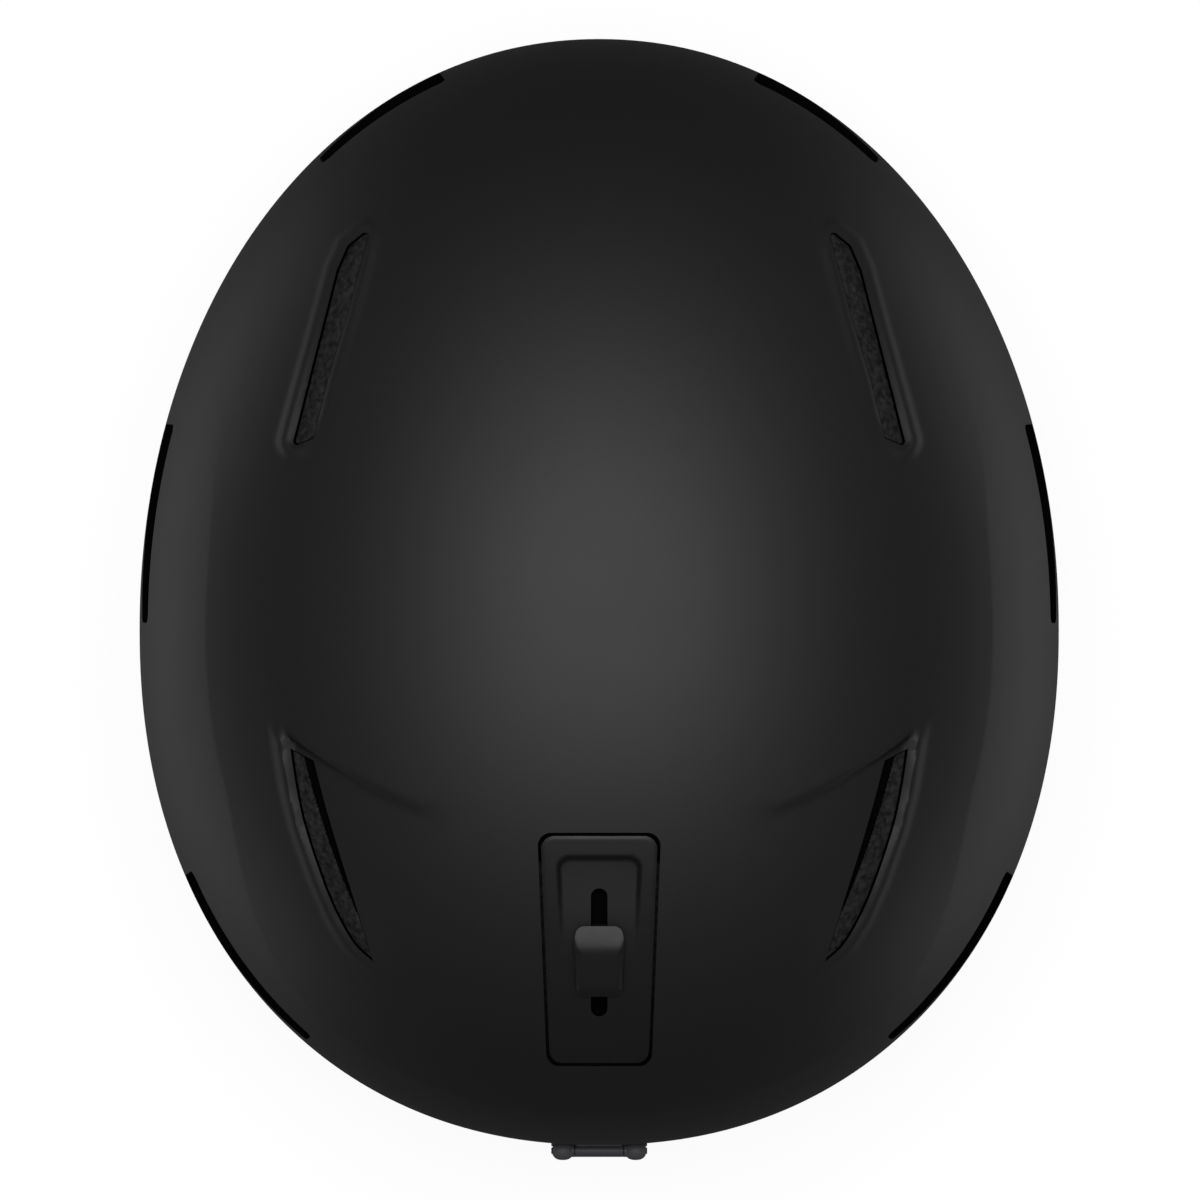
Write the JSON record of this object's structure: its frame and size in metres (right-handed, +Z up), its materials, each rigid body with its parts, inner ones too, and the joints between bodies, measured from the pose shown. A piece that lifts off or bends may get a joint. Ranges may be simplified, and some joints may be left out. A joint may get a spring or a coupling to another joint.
{
  "type": "ski helmet",
  "caption": "Matt black ski helmet with a hard shell over a foam liner, sliding crown vents, ear pads, goggle clip, chin strap with a buckle, and a nape dial that tightens the fit.",
  "frame": {"origin": "middle of the helmet's box in plan, on the surface it stands on, under its ear pads", "axes": "+Z up, +Y to the front of the helmet, +X to the wearer's right"},
  "size_m": [0.229, 0.2799, 0.2],
  "materials": {
    "soft_touch_shell": "matt black soft-touch shell",
    "moulded_black": "fine-textured black moulding",
    "moulded_grey": "fine-textured dark grey moulding",
    "moulded_foam": "moulded bead foam",
    "vent_mesh": "open-pored mesh",
    "padding": "brushed knit over foam",
    "webbing": "woven nylon",
    "edge_rubber": "satin edge trim",
    "plated_steel": "plated"
  },
  "bodies": {
    "helmet": {"outer_shell": "soft_touch_shell", "foam_liner": "moulded_foam", "rim_trim": "edge_rubber", "slider_plate": "moulded_black", "vent_mesh_front_left": "vent_mesh", "vent_mesh_front_right": "vent_mesh", "vent_mesh_rear_left": "vent_mesh", "vent_mesh_rear_right": "vent_mesh", "goggle_clip_base": "moulded_grey", "goggle_clip_pin": "plated_steel", "brow_pad": "padding", "crown_pad": "padding", "side_pad_left": "padding", "side_pad_right": "padding", "ear_pad_left": "padding", "ear_pad_right": "padding", "nape_pad": "padding", "adjuster_hanger": "moulded_black", "dial_housing": "moulded_black", "housing_cover": "moulded_black", "strap_anchor_front_left": "moulded_black", "strap_anchor_front_right": "moulded_black", "strap_anchor_rear_left": "moulded_black", "strap_anchor_rear_right": "moulded_black", "front_strap_left": "webbing", "front_strap_right": "webbing", "rear_strap_left": "webbing", "rear_strap_right": "webbing", "strap_divider_left": "moulded_black", "strap_divider_right": "moulded_black", "chin_strap_left": "webbing", "chin_strap_right": "webbing", "buckle_socket": "moulded_black", "chin_pad": "padding"},
    "vent_slider": {"vent_slider": "moulded_black", "slider_stem": "moulded_black", "vent_shutter": "moulded_black"},
    "goggle_clip": {"goggle_clip_arm": "moulded_grey"},
    "fit_dial": {"fit_dial": "moulded_black", "dial_pinion": "moulded_grey", "dial_screw": "plated_steel"},
    "fit_band_left": {"fit_band_left": "moulded_black"},
    "fit_band_right": {"fit_band_right": "moulded_black"},
    "buckle_tongue": {"buckle_tongue": "moulded_black"}
  },
  "joints": [
    {"name": "vent_slide", "type": "hinge", "parent": "helmet", "child": "vent_slider", "pos_m": [0, 0.00613, 0.02379], "axis": [-1, 0, 0], "range_deg": [-1.09, 2.81]},
    {"name": "goggle_clip_flip", "type": "hinge", "parent": "helmet", "child": "goggle_clip", "pos_m": [0, -0.13815, 0.08615], "axis": [-1, 0, 0], "range_deg": [0, 110]},
    {"name": "fit_dial_turn", "type": "hinge", "parent": "helmet", "child": "fit_dial", "pos_m": [0, -0.1009, 0.03], "axis": [0, 1, 0], "range_deg": [-114, 114]},
    {"name": "fit_band_left_draw", "type": "hinge", "parent": "helmet", "child": "fit_band_left", "pos_m": [0, -0.017, 0.03], "axis": [0, 0, 1], "range_deg": [-7.2, 7.2]},
    {"name": "fit_band_right_draw", "type": "hinge", "parent": "helmet", "child": "fit_band_right", "pos_m": [0, -0.017, 0.03], "axis": [0, 0, 1], "range_deg": [-7.25, 7.25]},
    {"name": "buckle_pull", "type": "slide", "parent": "helmet", "child": "buckle_tongue", "axis": [1, 0, 0], "range_m": [0, 0.022], "deforming": ["chin_strap_right"]}
  ],
  "couplings": [
    {"joint": "fit_dial_turn", "follows": "fit_band_left_draw", "ratio": 15.8},
    {"joint": "fit_band_right_draw", "follows": "fit_band_left_draw", "ratio": -1}
  ]
}
